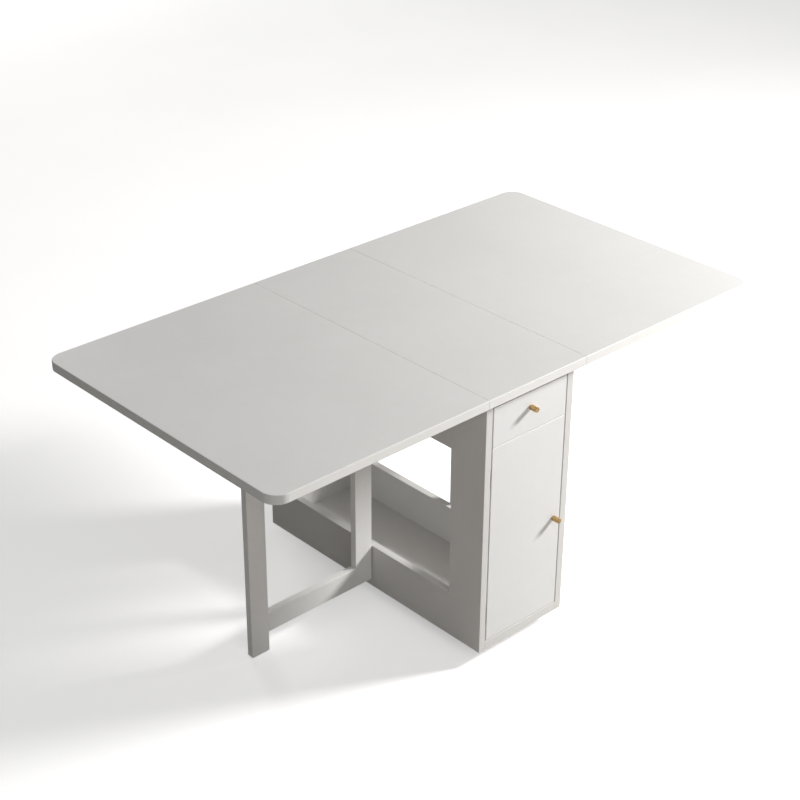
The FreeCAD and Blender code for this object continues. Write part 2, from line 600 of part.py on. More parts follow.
def leaf_hinges(word, side):
    """Three hinges under the seam; the pin line lies below and just outside it."""
    fixed_plates, leaf_plates, pins, fixed_screws, leaf_screws = [], [], [], [], []
    pin_at = (f"{side} * {LEAF_PIN_X}", LEAF_PIN_Z)
    seam = f"{SEAM} - SeamGap / 2"
    metal = (f"{UNDERSIDE} - HingeMetal", UNDERSIDE)
    sunk = (f"{UNDERSIDE} - HingeMetal - StopClearance", f"{UNDERSIDE} - StopClearance")
    leaf_near = f"{LEAF_PIN_X} + LeafKnuckle + KnuckleRelief"
    end_hinge = "(TableDepth / 2 - LeafHingeEnd)"
    for i, middle in enumerate((f"-{end_hinge}", "LeafHingeMiddle", end_hinge)):
        start = f"{middle} - LeafHingeLength / 2"
        name = f"{word}_leaf_hinge{i}"
        fixed_plates.append(hinge_half(
            name + "_fixed", "y", start, "LeafHingeLength", pin_at, "LeafKnuckle", "LeafPin",
            (outward(side, f"{HALF_BODY} + FixedPlateSetout", seam), metal),
            (outward(side, f"{seam} - LeafWebInset", LEAF_PIN_X), sunk), True))
        leaf_plates.append(hinge_half(
            name + "_leaf", "y", start, "LeafHingeLength", pin_at, "LeafKnuckle", "LeafPin",
            (outward(side, leaf_near, f"{leaf_near} + LeafPlateWidth"), metal),
            (outward(side, LEAF_PIN_X, f"{leaf_near} + WebLap"), metal), False))
        pins.append(hinge_pin(name + "_pin", "y", start, "LeafHingeLength", pin_at, "LeafPin"))
        for k, y in enumerate((f"{start} + LeafScrewInset", f"{start} + LeafHingeLength - LeafScrewInset")):
            fixed_screws.append(screw(f"{name}_fixed_screw{k}", f"{side} * ({HALF_BODY} + FixedScrewSetout)", y,
                                      metal[0], "+z"))
            leaf_screws.append(screw(f"{name}_leaf_screw{k}", f"{side} * ({leaf_near} + LeafScrewLine)", y,
                                     metal[0], "+z"))
    return fixed_plates, leaf_plates, pins, fixed_screws, leaf_screws


def door_hinges():
    """Two slim hinges in the gap at the door's left edge; their knuckles lie on the front line."""
    cabinet_plates, door_plates, pins = [], [], []
    pin_at = (f"-{DOOR_PIN_X}", BODY_FRONT)
    depth = (f"{BODY_FRONT} + {DOOR_KNUCKLE} + KnuckleRelief", f"{FRONTS_BACK} - DoorPlateSetback")
    web_depth = (BODY_FRONT, f"{BODY_FRONT} + {DOOR_KNUCKLE} + WebLap")
    on_panel = outward(-1, f"{INNER_FACE} - DoorHingeMetal", INNER_FACE)
    on_door = outward(-1, FRONT_HALF_WIDTH, f"{FRONT_HALF_WIDTH} + DoorHingeMetal")
    for i, start in enumerate((f"{DOOR_LOW} + DoorHingeInset",
                               f"{DOOR_TOP} - DoorHingeInset - DoorHingeLength")):
        name = f"door_hinge{i}"
        cabinet_plates.append(hinge_half(name + "_cabinet", "z", start, "DoorHingeLength", pin_at,
                                         DOOR_KNUCKLE, "DoorPin", (on_panel, depth), (on_panel, web_depth), True))
        door_plates.append(hinge_half(name + "_door", "z", start, "DoorHingeLength", pin_at,
                                      DOOR_KNUCKLE, "DoorPin", (on_door, depth), (on_door, web_depth), False))
        pins.append(hinge_pin(name + "_pin", "z", start, "DoorHingeLength", pin_at, "DoorPin"))
    node("door_hinge_cabinet_plates", group("door_hinge_cabinet_group", cabinet_plates))
    node("door_hinge_door_plates", group("door_hinge_door_group", door_plates))
    node("door_hinge_pins", group("door_hinge_pin_group", pins))


def door():
    board("door_panel", middle_span(FRONT_HALF_WIDTH), (BODY_FRONT, FRONTS_BACK), (DOOR_LOW, DOOR_TOP))
    drill("door_panel", knob("door_knob", f"{FRONT_HALF_WIDTH} - DoorKnobInset", f"{DOOR_LOW} + DoorKnobRise"))
    catch_x = (f"{FRONT_HALF_WIDTH} - CatchInset - CatchWidth", f"{FRONT_HALF_WIDTH} - CatchInset")
    plate_back = f"{FRONTS_BACK} + CatchPlateMetal"
    plate_top = f"{DECK_LOW} - CatchPlateDrop"
    node("catch_plate", block("catch_plate_sheet", catch_x, (FRONTS_BACK, plate_back),
                              (f"{plate_top} - CatchHeight", plate_top)))
    board("magnetic_catch", catch_x, (f"{plate_back} + CatchGap", f"{plate_back} + CatchGap + CatchDepth"),
          (f"{DECK_LOW} - CatchHeight", DECK_LOW))


# ---- gates ----

def gate(word, side):
    """A leg to the floor, an inner post and two rails between them, joined with dowels."""
    thick = middle_span("GateThickness / 2")
    leg_near = f"({GATE_FAR} - LegWidth)"
    post_far = f"({GATE_NEAR} + PostWidth)"
    board(f"{word}_gate_leg", outward(side, leg_near, GATE_FAR), thick, ("GlideThickness", GATE_TOP))
    board(f"{word}_gate_post", outward(side, GATE_NEAR, post_far), thick, ("GateRailLift", GATE_TOP))
    levels = (("lower", "GateRailLift", "GateRailLift + GateRailHeight"),
              ("upper", f"{GATE_TOP} - GateRailHeight", GATE_TOP))
    dowels = []
    for level, low, high in levels:
        board(f"{word}_gate_{level}_rail", outward(side, post_far, leg_near), thick, (low, high))
        for end, middle in (("post", post_far), ("leg", leg_near)):
            start = outward(side, f"{middle} - DowelLength / 2", f"{middle} + DowelLength / 2")[0]
            for k, shift in enumerate(("- DowelSpacing / 2", "+ DowelSpacing / 2")):
                dowels.append(rod(f"{word}_{level}_{end}_dowel{k}", "DowelDiameter / 2", "DowelLength",
                                  start, "0", f"{low} + GateRailHeight / 2 {shift}", "+x"))
    pegs = node(f"{word}_gate_dowels", group(f"{word}_gate_dowel_group", dowels))
    for part in ("leg", "post", "lower_rail", "upper_rail"):
        drill(f"{word}_gate_{part}", pegs)
    board(f"{word}_gate_glide", outward(side, f"{leg_near} + GlideInset", f"{GATE_FAR} - GlideInset"),
          middle_span("GateThickness / 2 - GlideFaceInset"), ("0", "GlideThickness"))


def gate_stop(word, side):
    """A pad under the leaf that the leg holds up, with a lip that stops the gate."""
    far = f"({GATE_FAR} - StopInset)"
    near = f"({far} - StopLength)"
    low, high = outward(side, near, far)
    body, sketch = new_body(f"{word}_gate_stop_body", "YZ_Plane", low)
    stop_face = "-GateThickness / 2 - StopClearance"
    pad_low = f"{GATE_TOP} + StopClearance"
    lip_face, lip_low = f"{stop_face} - StopLipThickness", f"{pad_low} - StopLipDrop"
    rear = "GateThickness / 2 - StopBackInset"
    outline(sketch, [
        (lip_face, UNDERSIDE), (lip_face, lip_low), (stop_face, lip_low), (stop_face, pad_low),
        (rear, pad_low), (rear, UNDERSIDE),
    ])
    pad(body, sketch, f"({high}) - ({low})")
    node(f"{word}_gate_stop", body)


# ---- assembly ----

centre_top()
carcass()
for word, side in SIDES:
    leaf(word, side)
    side_panel(word, side)
    gate(word, side)
    gate_stop(word, side)
shelf_pins()
body_feet()
drawer()
runners()
door()
door_hinges()

fixed = {"gate_plates": [], "gate_pins": [], "leaf_plates": [], "leaf_pins": [], "screws": []}
for word, side in SIDES:
    on_body, on_gate, pins, body_screws, gate_screws = gate_hinges(word, side)
    fixed["gate_plates"] += on_body
    fixed["gate_pins"] += pins
    fixed["screws"] += body_screws
    node(f"{word}_gate_hinge_plates", group(f"{word}_gate_hinge_group", on_gate))
    in_gate = node(f"{word}_gate_screws", group(f"{word}_gate_screw_group", gate_screws))
    drill(f"{word}_gate_hinge_plates", in_gate)
    drill(f"{word}_gate_post", in_gate)

    on_top, on_leaf, pins, fixed_screws, leaf_screws = leaf_hinges(word, side)
    fixed["leaf_plates"] += on_top
    fixed["leaf_pins"] += pins
    fixed["screws"] += fixed_screws
    node(f"{word}_leaf_hinge_plates", group(f"{word}_leaf_hinge_group", on_leaf))
    in_leaf = node(f"{word}_leaf_screws", group(f"{word}_leaf_screw_group", leaf_screws))
    drill(f"{word}_leaf_hinge_plates", in_leaf)
    drill(f"{word}_leaf", in_leaf)

for word, side in SIDES:
    for end_word, y in (("front", f"{BODY_FRONT} + TopScrewInset"), ("back", f"{STILE_BACK} - TopScrewInset")):
        fixed["screws"].append(screw(f"{word}_{end_word}_top_screw",
                                     f"{side} * ({INNER_FACE} - TopScrewSetback)", y,
                                     CABINET_CEILING, "+z", "CabinetTopThickness + ScrewBite"))

node("gate_hinge_body_plates", group("gate_hinge_body_group", fixed["gate_plates"]))
node("gate_hinge_pins", group("gate_hinge_pin_group", fixed["gate_pins"]))
node("leaf_hinge_fixed_plates", group("leaf_hinge_fixed_group", fixed["leaf_plates"]))
node("leaf_hinge_pins", group("leaf_hinge_pin_group", fixed["leaf_pins"]))
node("body_screws", group("body_screw_group", fixed["screws"]))
for name in ("gate_hinge_body_plates", "leaf_hinge_fixed_plates", "left_side_panel", "right_side_panel",
             "centre_top", "cabinet_top"):
    drill(name, nodes["body_screws"])

doc.recompute()

# ---- every object is sound before anything is written ----

failed = [item.Name for item in doc.Objects if "Invalid" in item.State or "Error" in item.State]
if failed:
    raise RuntimeError("objects that failed: " + ", ".join(failed))
for name, piece in nodes.items():
    if piece.Shape.isNull() or not piece.Shape.isValid() or not piece.Shape.Solids:
        raise RuntimeError("no sound solid for " + name)

os.makedirs("parts", exist_ok=True)
for name, piece in nodes.items():
    piece.Shape.exportStep(os.path.join("parts", name + ".step"))
    print(f"{name}: {len(piece.Shape.Solids)} solid(s), {piece.Shape.Volume / 1000:.1f} cm3")
print(len(nodes), "nodes")
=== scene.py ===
import json
from math import cos, pi, radians, sin
import bmesh
import bpy
from mathutils import Matrix, Vector


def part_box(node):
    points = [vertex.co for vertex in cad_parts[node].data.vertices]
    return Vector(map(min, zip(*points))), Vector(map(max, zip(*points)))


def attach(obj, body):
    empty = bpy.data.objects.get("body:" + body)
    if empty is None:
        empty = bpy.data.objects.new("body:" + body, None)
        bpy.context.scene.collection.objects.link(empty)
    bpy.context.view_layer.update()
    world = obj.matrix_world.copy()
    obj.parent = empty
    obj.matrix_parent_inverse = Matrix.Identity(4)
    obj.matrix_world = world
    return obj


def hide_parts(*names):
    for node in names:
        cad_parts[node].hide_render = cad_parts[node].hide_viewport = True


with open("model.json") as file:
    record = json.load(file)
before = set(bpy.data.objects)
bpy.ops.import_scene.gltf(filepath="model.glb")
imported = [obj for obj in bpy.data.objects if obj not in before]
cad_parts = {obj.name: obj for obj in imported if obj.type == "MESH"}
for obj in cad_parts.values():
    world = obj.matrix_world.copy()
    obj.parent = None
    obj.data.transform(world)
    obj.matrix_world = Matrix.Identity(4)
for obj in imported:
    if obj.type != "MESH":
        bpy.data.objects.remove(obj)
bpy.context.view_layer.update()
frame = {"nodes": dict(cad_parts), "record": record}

cadNodes = frame["nodes"]

viewpoint = {"azimuth": -42.903, "elevation": 28.744, "roll": 0.375, "lens": 79.225, "sensor": 36.0,
             "place": (-2.64625, -2.80035, 2.63517)}


def placeCamera(look):
    turn, rise, roll = (radians(look[word]) for word in ("azimuth", "elevation", "roll"))
    back = Vector((sin(turn) * cos(rise), -cos(turn) * cos(rise), sin(rise)))
    right = Vector((-back.y, back.x, 0)).normalized()
    up = back.cross(right)
    across = right * cos(roll) + up * sin(roll)
    upright = up * cos(roll) - right * sin(roll)
    rows = [(across[axis], upright[axis], back[axis], look["place"][axis]) for axis in range(3)]
    camera = bpy.data.objects.new("camera", bpy.data.cameras.new("camera"))
    camera.data.sensor_width, camera.data.lens = look["sensor"], look["lens"]
    camera.matrix_world = Matrix((*rows, (0.0, 0.0, 0.0, 1.0)))
    bpy.context.scene.collection.objects.link(camera)
    bpy.context.scene.camera = camera


placeCamera(viewpoint)

lamps = {
    "key": {"place": (3.28, -1.90, 2.36), "aim": (0.0, 0.0, 0.55), "size": 0.85, "watts": 236.0,
            "colour": (1.0, 0.99, 0.975)},
    "back": {"place": (3.0, 9.0, 2.4), "aim": (0.0, 0.0, 0.35), "size": 2.4, "watts": 165.0,
             "colour": (1.0, 0.99, 0.98)},
    "fill": {"place": (-1.6, -3.4, 3.2), "aim": (0.0, 0.0, 0.4), "size": 3.0, "watts": 34.0,
             "colour": (0.97, 0.985, 1.0)},
}


def hangLamp(name, look):
    lamp = bpy.data.lights.new(name, "AREA")
    lamp.shape, lamp.size = "DISK", look["size"]
    lamp.energy, lamp.color = look["watts"], look["colour"]
    held = bpy.data.objects.new(name, lamp)
    held.location = look["place"]
    held.rotation_euler = (Vector(look["place"]) - Vector(look["aim"])).to_track_quat("Z", "Y").to_euler()
    bpy.context.scene.collection.objects.link(held)


for name, look in lamps.items():
    hangLamp(name, look)

bpy.context.scene.view_settings.view_transform = "Standard"
print("camera and", len(lamps), "lamps placed")


class Wire:  # one socket of a node tree, used in sums as if it were its value
    def __init__(self, tree, socket=None):
        self.tree, self.socket = tree, socket

    def feed(self, node, plugs):  # the values or links of a node's sockets, a list being several links
        for name, value in plugs.items():
            for each in value if isinstance(value, list) else [value]:
                if isinstance(each, Wire):
                    self.tree.links.new(each.socket, node.inputs[name])
                else:
                    node.inputs[name].default_value = each

    def add(self, kind, settings=None, plugs=None, out=0):
        made = self.tree.nodes.new(kind)
        for name, value in (settings or {}).items():  # first, because they can change the sockets
            setattr(made, name, value)
        self.feed(made, plugs or {})
        return Wire(self.tree, made.outputs[out] if made.outputs else None)

    def sum(self, operation, first, second):
        return self.add("ShaderNodeMath", {"operation": operation}, {0: first, 1: second})

    def __add__(self, other): return self.sum("ADD", self, other)
    def __radd__(self, other): return self.sum("ADD", other, self)
    def __sub__(self, other): return self.sum("SUBTRACT", self, other)
    def __rsub__(self, other): return self.sum("SUBTRACT", other, self)
    def __mul__(self, other): return self.sum("MULTIPLY", self, other)
    def __rmul__(self, other): return self.sum("MULTIPLY", other, self)
    def __truediv__(self, other): return self.sum("DIVIDE", self, other)
    def __rtruediv__(self, other): return self.sum("DIVIDE", other, self)

    def between(self, low, high):  # 0 at low, 1 at high, eased at both ends
        return self.add("ShaderNodeMapRange", {"interpolation_type": "SMOOTHSTEP"},
                        {"Value": self, "From Min": low, "From Max": high})

    def tint(self, low, high):  # a colour that goes from low to high as this goes from 0 to 1
        return self.add("ShaderNodeMix", {"data_type": "RGBA"}, {0: self, 6: low, 7: high}, out=2)

    def blend(self, other, share):
        return self * (1 - share) + other * share

    def swing(self, reach):  # this about its own middle
        return (self - 0.5) * reach

    def outputs(self):
        return {socket.name: Wire(self.tree, socket) for socket in self.socket.node.outputs}

    def red(self):
        return self.add("ShaderNodeSeparateXYZ", plugs={0: self})

    def stretch(self, scale, turn=(0.0, 0.0, 0.0)):
        return self.add("ShaderNodeMapping", plugs={"Vector": self, "Scale": scale, "Rotation": turn})

    def noise(self, scale, detail=2.0, rough=0.5):
        return self.add("ShaderNodeTexNoise", out="Fac", plugs={
            "Vector": self, "Scale": scale, "Detail": detail, "Roughness": rough})

    def relief(self, strength, depth):  # this as a height, made into a bumped normal
        return self.add("ShaderNodeBump", out="Normal", plugs={
            "Height": self, "Strength": strength, "Distance": depth})


def rgb(*values):
    return (*values, 1.0)


def newFinish(name):  # a material, its shader and its place on the piece
    finish = bpy.data.materials.new(name)
    finish.use_nodes = True
    place = Wire(finish.node_tree).add("ShaderNodeTexCoord", out="Object")
    return finish, finish.node_tree.nodes["Principled BSDF"], place


roomLook = {"colour": rgb(1.0, 0.995, 0.985), "glow": 0.18, "wall": 0.86}  # light it gives, wall it shows


def paintRoom(look):
    room = bpy.data.worlds.new("paleRoom")
    room.use_nodes = True
    seen = Wire(room.node_tree).add("ShaderNodeLightPath", out="Is Camera Ray")
    seen.feed(room.node_tree.nodes["Background"], {
        "Color": look["colour"], "Strength": seen * (look["wall"] - look["glow"]) + look["glow"]})
    bpy.context.scene.world = room


paintRoom(roomLook)

# one white lacquer in four copies, each part's tone set by how light falls on it: top_paint and gate_paint are made
# lighter as painted light, body_paint darker as painted shade
lacquers = {
    "top_paint": {"low": rgb(0.81, 0.805, 0.79), "high": rgb(0.837, 0.832, 0.818), "gloss": 0.38, "peel": 0.09},
    "front_paint": {"low": rgb(0.777, 0.782, 0.785), "high": rgb(0.80, 0.805, 0.808), "gloss": 0.42, "peel": 0.08},
    "body_paint": {"low": rgb(0.703, 0.696, 0.684), "high": rgb(0.73, 0.724, 0.713), "gloss": 0.45, "peel": 0.11},
    "gate_paint": {"low": rgb(0.842, 0.835, 0.822), "high": rgb(0.868, 0.862, 0.85), "gloss": 0.42, "peel": 0.11},
}
sprayLook = {"ior": 1.48, "cloud": (3.1, 4.0, 0.6), "mist": (46.0, 3.0, 0.55), "mistShare": 0.3, "tone": (0.32, 0.68),
             "rub": (34.0, 5.0, 0.7), "rubStretch": (1.0, 14.0, 5.0), "rubTurn": (0.0, 0.0, 0.4),
             "rubbed": (0.56, 0.74), "peel": (520.0, 2.0, 0.45), "grit": (2100.0, 1.0, 0.5), "gritHeight": 0.25,
             "cloudRough": 0.10, "rubRough": 0.05, "gritRough": 0.04, "depth": 0.0006}


def lacquer(name, look, spray):  # sprayed satin lacquer: faint clouds of tone, orange peel and fine rub marks
    finish, shader, place = newFinish(name)
    cloud, mist, peel, grit = (place.noise(*spray[word]) for word in ("cloud", "mist", "peel", "grit"))
    rubs = place.stretch(spray["rubStretch"], spray["rubTurn"]).noise(*spray["rub"]).between(*spray["rubbed"])
    tone = cloud.blend(mist, spray["mistShare"]).between(*spray["tone"])
    gloss = look["gloss"] + cloud.swing(spray["cloudRough"]) + rubs * spray["rubRough"]
    place.feed(shader, {
        "IOR": spray["ior"], "Base Color": tone.tint(look["low"], look["high"]),
        "Roughness": gloss + grit.swing(spray["gritRough"]),
        "Normal": (peel + grit * spray["gritHeight"]).relief(look["peel"], spray["depth"])})
    return finish


foils = {"drawer_box": {"low": rgb(0.76, 0.75, 0.73), "high": rgb(0.82, 0.81, 0.79), "rough": 0.55},
         "drawer_panel": {"low": rgb(0.72, 0.71, 0.69), "high": rgb(0.80, 0.79, 0.77), "rough": 0.6}}
foilGrain = {"ior": 1.45, "stretch": (30.0, 240.0, 240.0), "turn": (0.0, 0.0, 0.15), "fibre": (4.0, 4.0, 0.6),
             "fibreRough": 0.12, "cloud": (9.0, 3.0), "cloudShare": 0.4, "tone": (0.3, 0.7), "relief": 0.12,
             "depth": 0.0004}


def foil(name, look, grain):  # printed foil over board: short fibres under a matt film
    finish, shader, place = newFinish(name)
    fibre = place.stretch(grain["stretch"], grain["turn"]).noise(*grain["fibre"])
    cloud = place.noise(*grain["cloud"])
    tone = fibre.blend(cloud, grain["cloudShare"]).between(*grain["tone"])
    place.feed(shader, {
        "IOR": grain["ior"], "Base Color": tone.tint(look["low"], look["high"]),
        "Roughness": look["rough"] + fibre.swing(grain["fibreRough"]),
        "Normal": fibre.relief(grain["relief"], grain["depth"])})
    return finish


brassLook = {"dark": rgb(0.44, 0.285, 0.12), "bright": rgb(0.72, 0.50, 0.24), "rough": 0.19, "sheared": 0.35,
             "rings": (900.0, 3.0, 0.6), "along": (0.08, 1.0, 0.08), "ringRough": 0.10,
             "patina": (160.0, 4.0, 0.6), "worn": (0.35, 0.7), "patinaShare": 0.65, "patinaRough": 0.08,
             "relief": 0.18, "depth": 0.0003}


def brass(name, look):  # turned brass: fine rings round the axis, warmer where it is handled
    finish, shader, place = newFinish(name)
    rings = place.stretch(look["along"]).noise(*look["rings"])
    patina = place.noise(*look["patina"]).between(*look["worn"])
    place.feed(shader, {
        "Metallic": 1.0, "Anisotropic": look["sheared"],
        "Base Color": rings.blend(patina, look["patinaShare"]).tint(look["dark"], look["bright"]),
        "Roughness": look["rough"] + rings * look["ringRough"] + patina * look["patinaRough"],
        "Normal": rings.relief(look["relief"], look["depth"])})
    return finish


zincs = {"hinge_steel": (0.72, 0.72, 0.71), "runner_zinc": (0.78, 0.78, 0.77)}
zincGrain = {"shade": 0.72, "spangle": 420.0, "spangleRough": 0.14, "brushed": (380.0, 3.0), "along": (1.0, 1.0, 9.0),
             "brushedShare": 0.5, "brushedRough": 0.08, "rough": 0.28, "relief": 0.10, "depth": 0.0003}


def zinc(name, bright, grain):  # bright zinc plate: small spangles and a brushed grain
    finish, shader, place = newFinish(name)
    spangle = place.add("ShaderNodeTexVoronoi", {"feature": "F1"}, {"Vector": place, "Scale": grain["spangle"]},
                        out="Color").red()
    brushed = place.stretch(grain["along"]).noise(*grain["brushed"])
    dark = rgb(*[grain["shade"] * part for part in bright])
    place.feed(shader, {
        "Metallic": 1.0, "Base Color": spangle.blend(brushed, grain["brushedShare"]).tint(dark, rgb(*bright)),
        "Roughness": grain["rough"] + spangle * grain["spangleRough"] + brushed * grain["brushedRough"],
        "Normal": brushed.relief(grain["relief"], grain["depth"])})
    return finish


beechLook = {"pale": rgb(0.70, 0.50, 0.31), "dark": rgb(0.50, 0.32, 0.18), "rough": 0.62,
             "grain": (120.0, 5.0, 0.65), "grainStretch": (1.0, 12.0, 12.0), "grainRough": 0.15,
             "fleck": (160.0, 2.0), "fleckStretch": (3.0, 30.0, 30.0), "flecked": (0.62, 0.7), "fleckShare": 0.2,
             "fleckHeight": 0.5, "relief": 0.3, "depth": 0.0005}


def beech(name, look):  # beech dowel: short grain and flecks along the pin
    finish, shader, place = newFinish(name)
    grain = place.stretch(look["grainStretch"]).noise(*look["grain"])
    fleck = place.stretch(look["fleckStretch"]).noise(*look["fleck"]).between(*look["flecked"])
    place.feed(shader, {
        "Base Color": grain.blend(fleck, look["fleckShare"]).tint(look["pale"], look["dark"]),
        "Roughness": look["rough"] + grain * look["grainRough"],
        "Normal": (grain + fleck * look["fleckHeight"]).relief(look["relief"], look["depth"])})
    return finish


feltLook = {"low": rgb(0.36, 0.35, 0.33), "high": rgb(0.56, 0.55, 0.52), "rough": 0.95, "sheen": 0.4,
            "fibre": (1500.0, 6.0, 0.75), "mat": (240.0, 3.0), "matShare": 0.4, "tone": (0.3, 0.7),
            "relief": 0.6, "depth": 0.0012}


def felt(name, look):  # pressed wool felt: matted fibres
    finish, shader, place = newFinish(name)
    fibre, mat = place.noise(*look["fibre"]), place.noise(*look["mat"])
    tone = fibre.blend(mat, look["matShare"]).between(*look["tone"])
    place.feed(shader, {
        "Sheen Weight": look["sheen"], "Roughness": look["rough"],
        "Base Color": tone.tint(look["low"], look["high"]), "Normal": fibre.relief(look["relief"], look["depth"])})
    return finish


mouldings = {"foot_plastic": {"low": rgb(0.66, 0.66, 0.64), "high": rgb(0.74, 0.74, 0.72), "rough": 0.5},
             "catch_plastic": {"low": rgb(0.74, 0.74, 0.72), "high": rgb(0.80, 0.80, 0.78), "rough": 0.42}}
sparkLook = {"ior": 1.5, "spark": (1400.0, 3.0, 0.6), "sparkRough": 0.16, "flow": (26.0, 3.0), "tone": (0.35, 0.65),
             "relief": 0.22, "depth": 0.0004}


def moulded(name, look, grain):  # moulded plastic with a spark-eroded texture
    finish, shader, place = newFinish(name)
    spark, flow = place.noise(*grain["spark"]), place.noise(*grain["flow"])
    place.feed(shader, {
        "IOR": grain["ior"], "Base Color": flow.between(*grain["tone"]).tint(look["low"], look["high"]),
        "Roughness": look["rough"] + spark.swing(grain["sparkRough"]),
        "Normal": spark.relief(grain["relief"], grain["depth"])})
    return finish


finishes = {slot: lacquer(slot, look, sprayLook) for slot, look in lacquers.items()}
finishes.update({slot: foil(slot, look, foilGrain) for slot, look in foils.items()})
finishes.update({slot: zinc(slot, bright, zincGrain) for slot, bright in zincs.items()})
finishes.update({slot: moulded(slot, look, sparkLook) for slot, look in mouldings.items()})
finishes.update({"knob_brass": brass("knob_brass", brassLook), "dowel_beech": beech("dowel_beech", beechLook),
                 "glide_felt": felt("glide_felt", feltLook)})

for part in frame["record"]["subparts"]:
    for holder in cadNodes[part["node"]].material_slots:
        holder.material = finishes[part["material_slot"]]
print(len(finishes), "finishes laid on")

meshLimits = {"weld": 2e-6, "latheWeld": 1e-6, "level": 1e-5}


def solidsOf(name):  # the corner points of each separate solid in a CAD node
    mesh = bmesh.new()
    mesh.from_mesh(cadNodes[name].data)
    bmesh.ops.remove_doubles(mesh, verts=mesh.verts, dist=meshLimits["weld"])
    unseen, solids = set(mesh.verts), []
    for first in mesh.verts:
        if first not in unseen:
            continue
        unseen.discard(first)
        edge, found = [first], [first]
        while edge:
            for line in edge.pop().link_edges:
                for corner in line.verts:
                    if corner in unseen:
                        unseen.discard(corner)
                        edge.append(corner)
                        found.append(corner)
        solids.append([corner.co.copy() for corner in found])
    mesh.free()
    return solids


def spanOf(points):
    low = Vector([min(point[axis] for point in points) for axis in range(3)])
    high = Vector([max(point[axis] for point in points) for axis in range(3)])
    return low, high


def settle(piece, body, slotName, *replaced):
    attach(piece, body)
    if replaced:
        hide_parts(*replaced)


def startTree(name, inputs, output):  # a geometry tree with its named inputs, and the wires that leave them
    tree = bpy.data.node_groups.new(name, "GeometryNodeTree")
    for word, kind in inputs.items():
        tree.interface.new_socket(word, in_out="INPUT", socket_type="NodeSocket" + kind)
    tree.interface.new_socket(output, in_out="OUTPUT", socket_type="NodeSocketGeometry")
    wire = Wire(tree)
    return tree, wire, wire.add("NodeGroupInput").outputs()


def endTree(wire, geometry, finish):  # copies made real, given their finish and sent out
    whole = wire.add("GeometryNodeRealizeInstances", plugs={"Geometry": geometry})
    whole = wire.add("GeometryNodeSetMaterial", plugs={"Geometry": whole, "Material": finish})
    wire.add("NodeGroupOutput", plugs={0: whole})


def dotMesh(name, places, floats=None, vectors=None):  # loose points with their own values
    mesh = bpy.data.meshes.new(name)
    mesh.from_pydata(places, [], [])
    for word, values in (floats or {}).items():
        mesh.attributes.new(word, "FLOAT", "POINT").data.foreach_set("value", values)
    for word, values in (vectors or {}).items():
        flat = [part for value in values for part in value]
        mesh.attributes.new(word, "FLOAT_VECTOR", "POINT").data.foreach_set("vector", flat)
    return mesh


def grow(name, mesh, tree, look):  # runs a tree on a mesh and keeps the result as a plain mesh
    seed = bpy.data.objects.new(name, mesh)
    bpy.context.scene.collection.objects.link(seed)
    modifier = seed.modifiers.new("grow", "NODES")
    modifier.node_group = tree
    for socket in tree.interface.items_tree:
        if socket.in_out == "INPUT" and socket.name in look:
            modifier[socket.identifier] = look[socket.name]
    ready = seed.evaluated_get(bpy.context.evaluated_depsgraph_get())
    grown = bpy.data.meshes.new_from_object(ready)
    seed.modifiers.clear()
    seed.data = grown
    return seed


screwLook = {"headRadius": 0.0026, "headDepth": 0.0012, "shankRadius": 0.0013, "recessReach": 0.0034,
             "recessWidth": 0.0009, "recessDepth": 0.0010, "sides": 24}
screwSets = {"body_screws": "table_body", "left_gate_screws": "left_gate", "right_gate_screws": "right_gate",
             "left_leaf_screws": "left_leaf", "right_leaf_screws": "right_leaf"}


def screwTree(look, metal):  # a countersunk screw with a cross recess on each point
    inputs = {"Places": "Geometry", **{word: "Int" if isinstance(look[word], int) else "Float" for word in look}}
    tree, wire, size = startTree("countersunkScrews", inputs, "Screws")

    def vector(x=0.0, y=0.0, z=0.0):
        return wire.add("ShaderNodeCombineXYZ", plugs={0: x, 1: y, 2: z})

    def named(name, kind):
        return wire.add("GeometryNodeInputNamedAttribute", {"data_type": kind}, {"Name": name})

    cone = wire.add("GeometryNodeMeshCone", plugs={
        "Vertices": size["sides"], "Radius Top": size["shankRadius"], "Radius Bottom": size["headRadius"],
        "Depth": size["headDepth"]})
    recess = [wire.add("GeometryNodeMeshCube", plugs={"Size": vector(x, y, size["recessDepth"] * 2.0)})
              for x, y in ((size["recessReach"], size["recessWidth"]), (size["recessWidth"], size["recessReach"]))]
    head = wire.add("GeometryNodeMeshBoolean", {"operation": "DIFFERENCE", "solver": "EXACT"},
                    {"Mesh 1": cone, "Mesh 2": recess})
    rod = wire.add("GeometryNodeMeshCylinder", plugs={
        "Vertices": size["sides"], "Radius": size["shankRadius"], "Depth": 1.0})
    shank = wire.add("GeometryNodeTransform", plugs={"Geometry": rod, "Translation": vector(z=0.5)})
    aim = named("aim", "FLOAT_VECTOR")
    turn = wire.add("FunctionNodeAlignRotationToVector", {"axis": "Z"}, {"Vector": aim})
    heads = wire.add("GeometryNodeInstanceOnPoints", plugs={
        "Points": size["Places"], "Instance": head, "Rotation": turn})
    inset = wire.add("ShaderNodeVectorMath", {"operation": "SCALE"}, {0: aim, "Scale": size["headDepth"]})
    sunk = wire.add("GeometryNodeSetPosition", plugs={"Geometry": size["Places"], "Offset": inset})
    shanks = wire.add("GeometryNodeInstanceOnPoints", plugs={
        "Points": sunk, "Instance": shank, "Rotation": turn,
        "Scale": vector(1.0, 1.0, named("reach", "FLOAT"))})
    endTree(wire, wire.add("GeometryNodeJoinGeometry", plugs={0: [heads, shanks]}), metal)
    return tree


